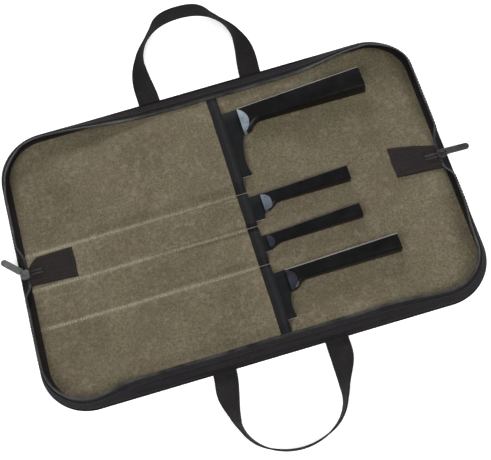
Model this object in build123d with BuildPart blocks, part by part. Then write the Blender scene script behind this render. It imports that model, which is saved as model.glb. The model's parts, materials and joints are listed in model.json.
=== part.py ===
from build123d import *
import os
from math import asin, atan2, cos, pi, radians, sin, tan

os.makedirs("parts", exist_ok=True)

# A zip-round roll case for kitchen knives, lying open and flat, with four knives in its pockets.
# Millimetres. X runs along the spine, Y across it towards the back half, Z up from the ground.
# The origin is on the underside of the spine, at its centre.

# ------------------------------------------------------------------ driving dimensions
CASE_WIDTH = 464.0       # along X, outside the rim
CASE_DEPTH = 316.0       # along Y, case open flat
CORNER_RADIUS = 50.0
SPINE_WIDTH = 40.0       # distance between the two folds, and the depth of the closed case
FOLD_GAP = 0.15          # each side of a fold line

COVER_THICKNESS = 1.0    # outer canvas
BOARD_THICKNESS = 2.0    # stiffener between the two canvases
LINING_THICKNESS = 1.0   # inner canvas
LINING_TOP = COVER_THICKNESS + BOARD_THICKNESS + LINING_THICKNESS
FOLD_Y = SPINE_WIDTH / 2
EDGE_X = CASE_WIDTH / 2
EDGE_Y = CASE_DEPTH / 2

GUSSET_THICKNESS = 1.4
GUSSET_BEND = 5.6        # height at which the gusset turns inwards
GUSSET_LENGTH = 11.9     # along the fabric, from the bend to the zip tape
TAPE_THICKNESS = 0.8
TAPE_LENGTH = 4.5
TEETH_THICKNESS = 2.2
TEETH_LENGTH = 2.4
UPRIGHT_LEAN = 17.0      # degrees from vertical, on the short sides and corners
FLAT_LEAN = 88.0         # the long sides lie down over the lining
RIM_STATIONS = (         # lean of the long side at distances from its middle, from the corner inwards
    (EDGE_X - CORNER_RADIUS, UPRIGHT_LEAN),
    (158.0, 50.0),
    (135.0, FLAT_LEAN),
    (0.0, FLAT_LEAN),
)

POCKET_LEFT = -221.0     # the pocket sheet, from the left wall
POCKET_MOUTH = 9.0       # to the binding
BINDING_RIGHT = 20.0
SHEET_EDGE = 0.8         # thickness where it is sewn down
BINDING_EXTRA = 0.5      # the binding stands this much above the sheet
POCKET_CORNER = 30.0
SLOT_CLEARANCE = 0.4

TAB_HALF_WIDTH = 18.0
TAB_INNER_X = 171.0
TAB_STEP_X = 208.0
TAB_OUTER_X = 222.5
TAB_THICKNESS = 1.8
TAB_NOSE_THICKNESS = 0.8
SLIDER_X = 227.0
SLIDER_LENGTH = 9.0
SLIDER_WIDTH = 8.0
CHAIN_BOTTOM = 6.3
CHAIN_HEIGHT = 1.6
CHAIN_SLIT = 0.7         # half the gap between the two rows of teeth
CHAIN_ROW = 2.2
PULL_LENGTH = 29.0
PULL_WIDTH = 7.2
PULL_THICKNESS = 1.4
LEFT_PULL_SWING = 135.0  # direction the pull lies in, degrees from +X
RIGHT_PULL_SWING = -2.0

STRAP_WIDTH = 24.0
STRAP_THICKNESS = 1.6
STRAP_CENTRE_X = 3.3
STRAP_HALF_INNER = 46.0  # centre line to a leg's inner edge
STRAP_ROOT_Y = EDGE_Y + 0.9
STRAP_ARCH_Y = 203.0     # where the straight legs end
STRAP_REACH = 54.0       # from there to the far end, along the ground
STRAP_SQUARENESS = 2.8   # exponent of the super-ellipse that the arch follows
STRAP_ROLL_START_Y = 168.0
STRAP_ROLL_UPRIGHT = 85.0
STRAP_ROLL_FAR_END = 63.0
STRAP_LIFT = 0.2         # its lower edge above the ground
LEG_STEPS = 5
ARCH_STEPS = 20

REST_GAP = 0.3           # between a knife and the lining


# ------------------------------------------------------------------ helpers
def finish(part_builder, label):
    """Labels a finished piece and writes it."""
    part_builder.part.label = label
    export_step(part_builder.part, f"parts/{label}.step")


def half_slab(side, inset, bottom, thickness):
    """One half of the case: square at the fold, with two rounded outer corners."""
    near = FOLD_Y + FOLD_GAP
    far = EDGE_Y - inset
    with BuildPart() as slab:
        with BuildSketch(Plane.XY.offset(bottom)) as outline:
            with Locations((0, side * (near + far) / 2)):
                Rectangle(CASE_WIDTH - 2 * inset, far - near)
            outer = outline.vertices().sort_by(Axis.Y, reverse=side > 0)[:2]
            fillet(outer, CORNER_RADIUS - inset)
        extrude(amount=thickness)
    return slab


def spine_slab(inset, bottom, thickness):
    """The strip between the two folds."""
    with BuildPart() as slab:
        with BuildSketch(Plane.XY.offset(bottom)):
            Rectangle(CASE_WIDTH - 2 * inset, SPINE_WIDTH - 2 * FOLD_GAP)
        extrude(amount=thickness)
    return slab


def rim_plane(x, y, inward_x, inward_y):
    """A section across the rim: its own X points inwards, its own Y up."""
    return Plane(origin=(x, y, 0), x_dir=(inward_x, inward_y, 0), z_dir=(inward_y, -inward_x, 0))


def along_rim(lean, distance, depth):
    """A point of the leaning part of a rim section: distance past the bend, depth under its outer face."""
    a = radians(lean)
    return (distance * sin(a) + depth * cos(a), GUSSET_BEND + distance * cos(a) - depth * sin(a))


def gusset_profile(lean):
    inner_bend = GUSSET_BEND - GUSSET_THICKNESS * tan(radians(lean) / 2)
    return [
        (0, 0),
        (GUSSET_THICKNESS, 0),
        (GUSSET_THICKNESS, inner_bend),
        along_rim(lean, GUSSET_LENGTH, GUSSET_THICKNESS),
        along_rim(lean, GUSSET_LENGTH, 0),
        (0, GUSSET_BEND),
    ]


def strip_profile(lean, start, length, top, bottom):
    return [
        along_rim(lean, start, top),
        along_rim(lean, start, bottom),
        along_rim(lean, start + length, bottom),
        along_rim(lean, start + length, top),
    ]


def tape_profile(lean):
    return strip_profile(lean, GUSSET_LENGTH, TAPE_LENGTH, 0.2, 0.2 + TAPE_THICKNESS)


def teeth_profile(lean):
    middle = 0.2 + TAPE_THICKNESS / 2
    start = GUSSET_LENGTH + TAPE_LENGTH
    half = TEETH_THICKNESS / 2
    return strip_profile(lean, start, TEETH_LENGTH, middle - half, middle + half)


def rim_band(side, profile):
    """One band of the rim round a half: two walls, two corners and the long side, mitred at the fold."""
    stations = [(-x, lean) for x, lean in RIM_STATIONS] + [(x, lean) for x, lean in RIM_STATIONS[-2::-1]]
    corner_y = side * (EDGE_Y - CORNER_RADIUS)
    corner_x = EDGE_X - CORNER_RADIUS
    wall_length = EDGE_Y - CORNER_RADIUS - FOLD_Y - FOLD_GAP
    with BuildPart() as band:
        for x, lean in stations:
            with BuildSketch(rim_plane(x, side * EDGE_Y, 0, -side)):
                with BuildLine():
                    Polyline(*profile(lean), close=True)
                make_face()
        loft(ruled=True)
        for end in (-1, 1):
            section = rim_plane(end * EDGE_X, corner_y, -end, 0)
            with BuildSketch(section):
                with BuildLine():
                    Polyline(*profile(UPRIGHT_LEAN), close=True)
                make_face()
            revolve(axis=Axis((end * corner_x, corner_y, 0), (0, 0, end * side)), revolution_arc=90)
            with BuildSketch(section):
                with BuildLine():
                    Polyline(*profile(UPRIGHT_LEAN), close=True)
                make_face()
            extrude(amount=-side * end * wall_length)
        with BuildSketch(Plane.YZ):
            with BuildLine():
                near = side * (FOLD_Y - 10)
                start = side * (FOLD_Y + FOLD_GAP)
                rise = 2 * GUSSET_LENGTH + 10
                far = side * (FOLD_Y + FOLD_GAP + rise)
                top = LINING_TOP + rise
                Polyline((near, LINING_TOP), (start, LINING_TOP), (far, top), (near, top), close=True)
            make_face()
        extrude(amount=CASE_WIDTH, both=True, mode=Mode.SUBTRACT)
    return band


# ------------------------------------------------------------------ knives
# Each knife lies with its blade tip and its butt on the lining, so it tilts by a degree or two.
class Knife:
    def __init__(self, name, x, y, turn, handle, neck, butt, depth, blade, steel, back, edge, heel, travel):
        self.name = name
        self.handle = handle      # length of the handle
        self.neck = neck          # twice the handle's reach below its centre line, behind the bolster
        self.butt = butt          # handle width at the butt
        self.depth = depth        # handle thickness at the butt
        self.blade = blade        # from the handle's start to the tip
        self.steel = steel        # blade thickness
        self.back = back          # the blade's back above the handle's centre line
        self.edge = edge          # the cutting edge below it
        self.heel = heel          # the heel's corner, before the handle's start
        self.travel = travel      # how far it draws out straight
        tilt = asin((depth - steel) / 2 / (blade + handle))
        height = LINING_TOP + REST_GAP + steel / 2 + blade * sin(tilt)
        self.bolster_depth = 2 * (height - LINING_TOP - REST_GAP)
        a = radians(turn)
        self.axis = (cos(a) * cos(tilt), sin(a) * cos(tilt), sin(tilt))
        normal = (-cos(a) * sin(tilt), -sin(a) * sin(tilt), cos(tilt))
        self.plane = Plane(origin=(x, y, height), x_dir=self.axis, z_dir=normal)


CLEAVER = Knife("cleaver", 44.0, 106.6, 1.0, 130.0, 19.0, 26.0, 17.0, 206.0, 2.4, 10.2, 70.2, 15.0, 48.0)
UTILITY = Knife("utility_knife", 40.7, 5.1, 1.2, 86.0, 12.0, 15.5, 13.0, 115.0, 2.0, 8.2, 20.5, 11.5, 42.0)
PARING = Knife("paring_knife", 34.1, -39.7, 1.8, 92.0, 11.7, 15.0, 12.0, 104.0, 1.8, 7.0, 11.5, 4.5, 94.0)
CHEF = Knife("chef_knife", 41.8, -84.9, 1.0, 110.0, 14.0, 17.6, 14.0, 206.0, 2.2, 8.6, 43.0, 12.0, 68.0)
KNIVES = (CLEAVER, UTILITY, PARING, CHEF)

BOLSTER_LENGTH = 9.5
BOLSTER_DROP = 2.6       # from the blade's back down to the bolster, under the handle's lip
BOLSTER_TOE = -6.0       # where the curved face meets the bolster's lower end
GRIND_WIDTH = 5.0        # the edge's bevel
EDGE_THICKNESS = 0.4
TANG_CLEARANCE = 0.05
HANDLE_CHAMFER = 2.0


def bolster_bottom(knife):
    """How far the bolster reaches below the handle's centre line."""
    return min(1.05 * knife.neck, knife.edge - 3.0)


def blade_outline(knife):
    """Straight edge, straight back, a tip that drops to the edge and a hollow heel."""
    low = -bolster_bottom(knife)
    width = knife.back + knife.edge
    back_end = (-BOLSTER_LENGTH, knife.back)
    tip_start = (-knife.blade + 0.45 * width, knife.back)
    tip_middle = (-knife.blade + 0.13 * width, knife.back - 0.35 * width)
    tip_end = (-knife.blade, -knife.edge)
    heel = (-knife.heel, -knife.edge)
    hollow = min(4.5, 0.1 * (knife.edge + low))
    waist = ((-knife.heel - BOLSTER_LENGTH) / 2 - hollow, (low - knife.edge) / 2)
    bolster_end = (-BOLSTER_LENGTH, low)
    with BuildSketch(knife.plane) as outline:
        with BuildLine():
            Line(back_end, tip_start)
            ThreePointArc(tip_start, tip_middle, tip_end)
            Line(tip_end, heel)
            ThreePointArc(heel, waist, bolster_end)
            Line(bolster_end, back_end)
        make_face()
    return outline.sketch


def tang_box(knife, clearance, start):
    """The tang inside the bolster and the handle."""
    length = 0.6 * knife.handle - start
    width = 0.5 * knife.neck + 2 * clearance
    with Locations((start, 0)):
        Rectangle(length, width, align=(Align.MIN, Align.CENTER))


def make_blade(knife):
    with BuildPart() as blade:
        extrude(blade_outline(knife), amount=knife.steel / 2, both=True)
        with BuildSketch(Plane(knife.plane.origin, x_dir=knife.plane.y_dir, z_dir=knife.plane.x_dir)):
            with BuildLine():
                half = knife.steel / 2
                thin = EDGE_THICKNESS / 2
                top = knife.back + 5
                Polyline(
                    (top, half),
                    (-knife.edge + GRIND_WIDTH, half),
                    (-knife.edge, thin),
                    (-knife.edge, -thin),
                    (-knife.edge + GRIND_WIDTH, -half),
                    (top, -half),
                    close=True,
                )
            make_face()
        extrude(amount=knife.blade + 10, both=True, mode=Mode.INTERSECT)
        with BuildSketch(knife.plane):
            tang_box(knife, 0, -BOLSTER_LENGTH - 1.5)
        extrude(amount=knife.steel / 2, both=True)
    return blade


def bolster_arc(knife):
    """The bolster's curved face, where the handle starts."""
    low = -bolster_bottom(knife)
    top = knife.back - BOLSTER_DROP
    bulge = min(BOLSTER_LENGTH, 0.55 * (top - low))
    middle = (bulge - BOLSTER_LENGTH, (top + low) / 2 - 1.0)
    ThreePointArc((1 - BOLSTER_LENGTH, top), middle, (BOLSTER_TOE, low))


def wedge(knife, from_x, to_x):
    """Thins a knife's bolster and handle towards the blade: a side view, cut through the outline."""
    slope = (knife.depth - knife.bolster_depth) / 2 / knife.handle
    start = knife.bolster_depth / 2 + slope * from_x
    end = knife.bolster_depth / 2 + slope * to_x
    upright = Plane(knife.plane.origin, x_dir=knife.plane.x_dir, z_dir=-knife.plane.y_dir)
    with BuildSketch(upright) as side_view:
        with BuildLine():
            Polyline((from_x, start), (to_x, end), (to_x, -end), (from_x, -start), close=True)
        make_face()
    extrude(side_view.sketch, amount=60, both=True, mode=Mode.INTERSECT)


def make_bolster(knife):
    low = -bolster_bottom(knife)
    top = knife.back - BOLSTER_DROP
    with BuildPart() as bolster:
        with BuildSketch(knife.plane):
            with BuildLine():
                bolster_arc(knife)
                Line((BOLSTER_TOE, low), (-BOLSTER_LENGTH, low))
                Line((-BOLSTER_LENGTH, low), (-BOLSTER_LENGTH, top))
                Line((-BOLSTER_LENGTH, top), (1 - BOLSTER_LENGTH, top))
            make_face()
        extrude(amount=knife.depth, both=True)
        wedge(knife, -15, 5)
        with BuildSketch(knife.plane):
            tang_box(knife, TANG_CLEARANCE, -12.0)
        extrude(amount=knife.steel / 2 + TANG_CLEARANCE, both=True, mode=Mode.SUBTRACT)
    return bolster


def make_handle(knife):
    low = -bolster_bottom(knife)
    lip = knife.back - BOLSTER_DROP
    neck = -knife.neck / 2
    neck_x = 0.75 * knife.neck
    with BuildPart() as handle:
        with BuildSketch(knife.plane):
            with BuildLine():
                bolster_arc(knife)
                Line((BOLSTER_TOE, low), (0.0, low + 2.2))
                slope = (knife.butt - knife.neck) / 2 / (knife.handle - neck_x)
                TangentArc((neck_x, neck), (0.0, low + 2.2), tangent=(-1, slope))
                Line((neck_x, neck), (knife.handle, -knife.butt / 2))
                Line((knife.handle, -knife.butt / 2), (knife.handle, knife.butt / 2))
                Line((knife.handle, knife.butt / 2), (-BOLSTER_LENGTH, knife.back))
                Line((-BOLSTER_LENGTH, knife.back), (-BOLSTER_LENGTH, lip))
                Line((-BOLSTER_LENGTH, lip), (1 - BOLSTER_LENGTH, lip))
            make_face()
        extrude(amount=knife.depth, both=True)
        wedge(knife, -15, knife.handle + 1)
        long_edges = [e for e in handle.edges() if e.length > 0.6 * knife.handle]
        chamfer(long_edges, HANDLE_CHAMFER)
        with BuildSketch(knife.plane):
            tang_box(knife, TANG_CLEARANCE, -12.0)
        extrude(amount=knife.steel / 2 + TANG_CLEARANCE, both=True, mode=Mode.SUBTRACT)
    return handle


def cut_blade_slot(knife):
    """Clears the blade's path out of a pocket roof, down to the lining."""
    width = knife.back + knife.edge + 2 * SLOT_CLEARANCE
    with BuildSketch(knife.plane.offset(knife.steel / 2 + SLOT_CLEARANCE)) as path:
        with Locations((-knife.blade - 1, knife.back + SLOT_CLEARANCE)):
            Rectangle(knife.blade + 10, width, align=(Align.MIN, Align.MAX))
    extrude(path.sketch, amount=-30, mode=Mode.SUBTRACT)


# ------------------------------------------------------------------ pockets
# A pocket is (its knife, edge, foot, roof, roof, foot, edge), with the Y of each corner of its section.
BACK_POCKETS = ((CLEAVER, 20.9, 26.5, 31.5, 121.0, 131.0, 138.0),)
SPINE_POCKETS = ((UTILITY, -19.1, -18.7, -18.2, 16.6, 18.0, 19.1),)
FRONT_POCKETS = (
    (PARING, -20.9, -27.0, -31.0, -56.0, -61.0, -65.5),
    (CHEF, -65.5, -69.0, -74.0, -133.0, -136.5, -138.0),
)


def roof_height(knife, x, extra):
    """Height of the pocket roof over a blade, above the lining."""
    along = x - knife.plane.origin.X
    middle = knife.plane.origin.Z + along * knife.axis[2]
    return max(middle + knife.steel / 2 + SLOT_CLEARANCE + 1.0, LINING_TOP + 2.0) - LINING_TOP + extra


def pocket_sheet(pockets, from_x, to_x, extra, trim):
    """The sheet over some pockets. Its free edges are trimmed back to leave room for the folds."""
    with BuildPart() as sheet:
        for knife, edge0, foot0, roof0, roof1, foot1, edge1 in pockets:
            for x in (from_x, to_x):
                base = LINING_TOP + SHEET_EDGE + extra
                roof = LINING_TOP + roof_height(knife, x, extra)
                low = edge0 + trim(edge0)
                high = edge1 + trim(edge1)
                with BuildSketch(Plane.YZ.offset(x)):
                    with BuildLine():
                        Polyline(
                            (low, LINING_TOP),
                            (low, base),
                            (foot0 + trim(edge0) / 2, base),
                            (roof0, roof),
                            (roof1, roof),
                            (foot1 + trim(edge1) / 2, base),
                            (high, base),
                            (high, LINING_TOP),
                            close=True,
                        )
                    make_face()
            loft(ruled=True)
        for pocket in pockets:
            cut_blade_slot(pocket[0])
    return sheet


def no_trim(edge):
    return 0.0


def binding_trim(edge):
    """The binding is thicker than the sheet, so it stops a little further from a fold line."""
    if abs(abs(edge) - FOLD_Y) > 1.5:
        return 0.0
    outward = 1 if abs(edge) > FOLD_Y else -1
    return 0.6 * outward * (1 if edge > 0 else -1)


def round_pocket_corner(sheet, side):
    """Keeps the sheet clear of the rim in the case's left corner."""
    with BuildPart() as rounded:
        add(sheet.part)
        with BuildSketch(Plane.XY) as area:
            far = 138.0
            with Locations((POCKET_LEFT, side * far)):
                y_align = Align.MAX if side > 0 else Align.MIN
                Rectangle(POCKET_CORNER, POCKET_CORNER, align=(Align.MIN, y_align))
            with Locations((POCKET_LEFT + POCKET_CORNER, side * (far - POCKET_CORNER))):
                Circle(POCKET_CORNER, mode=Mode.SUBTRACT)
        extrude(amount=60, mode=Mode.SUBTRACT)
    return rounded


# ------------------------------------------------------------------ carry handles
def smooth_step(value, start, end):
    """Rises smoothly from 0 at start to 1 at end."""
    t = min(1.0, max(0.0, (value - start) / (end - start)))
    return t * t * (3 - 2 * t)


def strap_roll(y):
    """How far the webbing has rolled up from flat, in degrees.

    It is flat where it is sewn on, almost upright in the bends, and leans out at the far end.
    """
    far_end = STRAP_ARCH_Y + STRAP_REACH
    upright = STRAP_ROLL_UPRIGHT * smooth_step(y, STRAP_ROLL_START_Y, far_end - 14)
    return upright - (STRAP_ROLL_UPRIGHT - STRAP_ROLL_FAR_END) * smooth_step(y, far_end - 18, far_end)


def strap_stations(side):
    """(base x, base y, outward direction, roll) along a strap.

    Its inner edge lies on the ground. It follows two straight legs and a half super-ellipse, whose outward
    direction is worked out from its slope.
    """
    leg = [STRAP_ROOT_Y + (STRAP_ARCH_Y - STRAP_ROOT_Y) * step / LEG_STEPS for step in range(LEG_STEPS)]
    stations = [(-STRAP_HALF_INNER, y, pi) for y in leg]
    power = 2 / STRAP_SQUARENESS
    for step in range(ARCH_STEPS + 1):
        t = pi * step / ARCH_STEPS
        across = 1 if cos(t) > 0 else -1
        x = -across * STRAP_HALF_INNER * abs(cos(t)) ** power
        y = STRAP_ARCH_Y + STRAP_REACH * max(0.0, sin(t)) ** power
        slope_x = -across * abs(cos(t)) ** (2 - power) / STRAP_HALF_INNER
        slope_y = max(0.0, sin(t)) ** (2 - power) / STRAP_REACH
        stations.append((x, y, atan2(slope_y, slope_x)))
    stations += [(STRAP_HALF_INNER, y, 0.0) for y in reversed(leg)]
    return [(STRAP_CENTRE_X + x, side * y, side * outward, strap_roll(y)) for x, y, outward in stations]


def carry_strap(side):
    """A webbing loop that lies on the ground beside the case and stands on its edge at the far end."""
    with BuildPart() as strap:
        for x, y, outward, roll in strap_stations(side):
            r = radians(roll)
            across = Vector(cos(r) * cos(outward), cos(r) * sin(outward), sin(r))
            through = Vector(-sin(r) * cos(outward), -sin(r) * sin(outward), cos(r))
            middle = Vector(x, y, STRAP_LIFT) + across * (STRAP_WIDTH / 2) + through * (STRAP_THICKNESS / 2)
            section = Plane(origin=middle, x_dir=across, z_dir=across.cross(through))
            with BuildSketch(section):
                Rectangle(STRAP_WIDTH, STRAP_THICKNESS)
        loft(ruled=True)
    return strap


# ------------------------------------------------------------------ zip ends on the spine
def end_gusset(end):
    """The low, folded-down end of the rim across the spine."""
    with BuildPart() as gusset:
        with BuildSketch(rim_plane(end * EDGE_X, 0, -end, 0)):
            with BuildLine():
                height = LINING_TOP + 1.0
                Polyline(
                    (0, 0),
                    (GUSSET_THICKNESS, 0),
                    (GUSSET_THICKNESS, LINING_TOP),
                    (8.0, LINING_TOP),
                    (8.0, height),
                    (0, height),
                    close=True,
                )
            make_face()
        extrude(amount=FOLD_Y - 1.2, both=True)
    return gusset


def zip_tab(end):
    """The fabric patch sewn over the inner end of the zip."""
    with BuildPart() as tab:
        with BuildSketch(Plane.XY.offset(LINING_TOP)):
            with BuildLine():
                Polyline(
                    (end * TAB_INNER_X, -TAB_HALF_WIDTH),
                    (end * TAB_INNER_X, TAB_HALF_WIDTH),
                    (end * TAB_STEP_X, 0.75 * TAB_HALF_WIDTH),
                    (end * TAB_OUTER_X, 0.5 * TAB_HALF_WIDTH),
                    (end * TAB_OUTER_X, -0.5 * TAB_HALF_WIDTH),
                    (end * TAB_STEP_X, -0.75 * TAB_HALF_WIDTH),
                    close=True,
                )
            make_face()
        extrude(amount=TAB_THICKNESS)
        nose = TAB_OUTER_X - TAB_STEP_X + 1
        with Locations((end * (TAB_STEP_X + nose / 2), 0, LINING_TOP + TAB_NOSE_THICKNESS)):
            Box(nose, 40, 10, align=(Align.CENTER, Align.CENTER, Align.MIN), mode=Mode.SUBTRACT)
        with Locations((end * (TAB_STEP_X - 4), 0, LINING_TOP)):
            top = CHAIN_BOTTOM + CHAIN_HEIGHT + 0.4 - LINING_TOP
            Box(8, 12, top, align=(Align.CENTER, Align.CENTER, Align.MIN))
    return tab


def zip_end(end):
    """The last closed stretch of the zip, as two rows of teeth with a slit that the slider's post runs in."""
    with BuildPart() as chain:
        for row in (-1, 1):
            centre = row * (CHAIN_SLIT + CHAIN_ROW / 2)
            length = TAB_OUTER_X - TAB_STEP_X
            with Locations((end * (TAB_STEP_X + length / 2), centre, CHAIN_BOTTOM)):
                Box(length, CHAIN_ROW, CHAIN_HEIGHT, align=(Align.CENTER, Align.CENTER, Align.MIN))
    return chain


def slider(end, swing):
    """A zip slider: two plates joined by a post, with a bridge for the pull on top."""
    plate_top = CHAIN_BOTTOM + CHAIN_HEIGHT + 0.3
    with BuildPart() as body:
        for bottom in (CHAIN_BOTTOM - 1.0, plate_top):
            with BuildSketch(Plane.XY.offset(bottom)):
                with Locations((end * SLIDER_X, 0)):
                    Rectangle(SLIDER_LENGTH, SLIDER_WIDTH)
                    Rectangle(SLIDER_LENGTH - 3, SLIDER_WIDTH + 1.6)
            extrude(amount=0.8 if bottom > CHAIN_BOTTOM else 0.7)
        with BuildSketch(Plane.XY.offset(CHAIN_BOTTOM - 0.4)):
            with Locations((end * (SLIDER_X + SLIDER_LENGTH / 2 - 1.2), 0)):
                Rectangle(2.0, 2 * CHAIN_SLIT - 0.6)
        extrude(amount=CHAIN_HEIGHT + 0.8)
        bridge = Plane(
            origin=(end * SLIDER_X, 0, plate_top + 0.7),
            x_dir=(cos(radians(swing)), sin(radians(swing)), 0),
            z_dir=(sin(radians(swing)), -cos(radians(swing)), 0),
        )
        with BuildSketch(bridge):
            with Locations((0, 1.7)):
                RectangleRounded(6.0, 3.6, 1.2)
                Circle(1.05, mode=Mode.SUBTRACT)
        extrude(amount=0.9, both=True)
    return body


def pull(end, swing):
    """A zip pull: a plate with a rounded end, two arms and a crossbar in the bridge.

    Its oval recess is on top at the right end of the case, and underneath at the left end.
    """
    hinge_height = CHAIN_BOTTOM + CHAIN_HEIGHT + 0.3 + 0.7 + 1.7
    a = radians(swing)
    flat = Plane(origin=(end * SLIDER_X, 0, hinge_height), x_dir=(cos(a), sin(a), 0), z_dir=(0, 0, 1))
    upright = Plane(origin=flat.origin, x_dir=flat.x_dir, z_dir=-flat.y_dir)
    arm_inner = 1.3
    with BuildPart() as plate:
        with BuildSketch(flat):
            with Locations((4.2, 0)):
                straight = PULL_LENGTH - 4.2 - PULL_WIDTH / 2
                Rectangle(straight, PULL_WIDTH, align=(Align.MIN, Align.CENTER))
            with Locations((PULL_LENGTH - PULL_WIDTH / 2, 0)):
                Circle(PULL_WIDTH / 2)
            for row in (-1, 1):
                with Locations((-0.7, row * (arm_inner + 0.75))):
                    Rectangle(6.0, 1.5, align=(Align.MIN, Align.CENTER))
        extrude(amount=PULL_THICKNESS / 2, both=True)
        with BuildSketch(flat.offset(end * PULL_THICKNESS / 2)):
            with Locations((PULL_LENGTH - PULL_WIDTH, 0)):
                SlotOverall(7.0, 3.6)
        extrude(amount=-0.7 * end, mode=Mode.SUBTRACT)
        with BuildSketch(upright):
            Circle(0.7)
        extrude(amount=arm_inner + 0.2, both=True)
    return plate


# ------------------------------------------------------------------ building
for half_name, half_side, half_pockets in (("front", -1, FRONT_POCKETS), ("back", 1, BACK_POCKETS)):
    bottom = 0.0
    for layer, thickness, inset in (
        ("cover", COVER_THICKNESS, GUSSET_THICKNESS),
        ("board", BOARD_THICKNESS, GUSSET_THICKNESS + 1.0),
        ("lining", LINING_THICKNESS, GUSSET_THICKNESS),
    ):
        finish(half_slab(half_side, inset, bottom, thickness), f"{half_name}_{layer}")
        bottom += thickness
    finish(rim_band(half_side, gusset_profile), f"{half_name}_gusset")
    finish(rim_band(half_side, tape_profile), f"{half_name}_zip_tape")
    finish(rim_band(half_side, teeth_profile), f"{half_name}_zip_teeth")
    flat_sheet = pocket_sheet(half_pockets, POCKET_LEFT, POCKET_MOUTH, 0.0, no_trim)
    finish(round_pocket_corner(flat_sheet, half_side), f"{half_name}_pocket_sheet")
    binding = pocket_sheet(half_pockets, POCKET_MOUTH, BINDING_RIGHT, BINDING_EXTRA, binding_trim)
    finish(binding, f"{half_name}_pocket_binding")
    finish(carry_strap(half_side), f"{half_name}_carry_handle")

bottom = 0.0
for layer, thickness, inset in (
    ("cover", COVER_THICKNESS, GUSSET_THICKNESS),
    ("board", BOARD_THICKNESS, GUSSET_THICKNESS + 1.0),
    ("lining", LINING_THICKNESS, GUSSET_THICKNESS),
):
    finish(spine_slab(inset, bottom, thickness), f"spine_{layer}")
    bottom += thickness
finish(pocket_sheet(SPINE_POCKETS, -TAB_INNER_X, POCKET_MOUTH, 0.0, no_trim), "spine_pocket_sheet")
spine_binding = pocket_sheet(SPINE_POCKETS, POCKET_MOUTH, BINDING_RIGHT, BINDING_EXTRA, binding_trim)
finish(spine_binding, "spine_pocket_binding")

for end_name, end, swing in (("left", -1, LEFT_PULL_SWING), ("right", 1, RIGHT_PULL_SWING)):
    finish(end_gusset(end), f"{end_name}_end_gusset")
    finish(zip_tab(end), f"{end_name}_zip_tab")
    finish(zip_end(end), f"{end_name}_zip_end")
    finish(slider(end, swing), f"{end_name}_slider")
    finish(pull(end, swing), f"{end_name}_pull")

for knife in KNIVES:
    finish(make_blade(knife), f"{knife.name}_blade")
    finish(make_bolster(knife), f"{knife.name}_bolster")
    finish(make_handle(knife), f"{knife.name}_handle")
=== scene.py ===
import json
from math import atan2, cos, exp, pi, radians, sin, sqrt

import bmesh
import bpy
from mathutils import Matrix, Vector, noise


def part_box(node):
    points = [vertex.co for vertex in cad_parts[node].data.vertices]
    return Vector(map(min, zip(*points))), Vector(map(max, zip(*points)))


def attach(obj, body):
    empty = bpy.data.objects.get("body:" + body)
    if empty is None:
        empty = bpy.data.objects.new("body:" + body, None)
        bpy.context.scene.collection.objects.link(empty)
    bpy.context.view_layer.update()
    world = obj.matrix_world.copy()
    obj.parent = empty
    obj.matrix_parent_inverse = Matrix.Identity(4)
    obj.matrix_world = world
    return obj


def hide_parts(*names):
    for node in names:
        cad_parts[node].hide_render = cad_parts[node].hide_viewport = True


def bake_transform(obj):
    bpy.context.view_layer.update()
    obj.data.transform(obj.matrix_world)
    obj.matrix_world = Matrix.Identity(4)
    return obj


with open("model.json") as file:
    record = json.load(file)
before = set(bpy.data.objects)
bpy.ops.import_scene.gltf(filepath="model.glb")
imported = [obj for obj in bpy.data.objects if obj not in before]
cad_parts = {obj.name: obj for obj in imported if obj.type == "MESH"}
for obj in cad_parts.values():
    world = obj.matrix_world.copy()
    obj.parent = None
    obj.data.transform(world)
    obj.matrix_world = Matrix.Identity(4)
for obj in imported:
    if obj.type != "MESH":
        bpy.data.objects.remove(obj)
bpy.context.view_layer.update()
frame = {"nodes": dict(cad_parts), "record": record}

# A zip-round canvas case for kitchen knives, lying open. Lengths in this script are in millimetres, in the
# CAD's own frame, and become metres where a mesh is made.
MM = 0.001
CM = 10.0  # a cloth's own coordinates are in centimetres


# ---------------- what the CAD model says
def low_mm(node):
    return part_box(node)[0] / MM


def high_mm(node):
    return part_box(node)[1] / MM


JOINTS = {joint["name"]: joint for joint in frame["record"]["behaviour"]["joints"]}
FOLD_Y = JOINTS["spine_back_fold"]["pos_m"][1] / MM
EDGE_X = high_mm("back_gusset").x
EDGE_Y = high_mm("back_gusset").y
CORNER_RADIUS = 50.0
STRAIGHT_X = EDGE_X - CORNER_RADIUS
STRAIGHT_Y = EDGE_Y - CORNER_RADIUS
LINING_TOP = high_mm("spine_lining").z
LINING_THICKNESS = LINING_TOP - low_mm("spine_lining").z
COVER_THICKNESS = high_mm("spine_cover").z
COVER_INSET = EDGE_X - high_mm("spine_cover").x
POCKET_LEFT = low_mm("front_pocket_sheet").x
POCKET_MOUTH = high_mm("front_pocket_sheet").x
BINDING_RIGHT = high_mm("front_pocket_binding").x
POCKET_FAR = high_mm("back_pocket_sheet").y
TAB_INNER_X = low_mm("right_zip_tab").x
TAB_OUTER_X = high_mm("right_zip_tab").x
CHAIN_INNER_X = low_mm("right_zip_end").x
CHAIN_BOTTOM = low_mm("right_zip_end").z
CHAIN_TOP = high_mm("right_zip_end").z
SLIDER_HALF_WIDTH = (high_mm("right_slider").y - low_mm("right_slider").y) / 2


# ---------------- small maths
RIGHT, BACK, UP = Vector((1, 0, 0)), Vector((0, 1, 0)), Vector((0, 0, 1))


def smooth_step(value, start, end):
    """Goes smoothly from 0 at start to 1 at end, whichever is larger."""
    t = min(1.0, max(0.0, (value - start) / (end - start)))
    return t * t * (3 - 2 * t)


def mix(a, b, share):
    return a + (b - a) * share


def steps(start, end, count):
    """count + 1 even values from start to end."""
    return [mix(start, end, i / count) for i in range(count + 1)]


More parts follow.
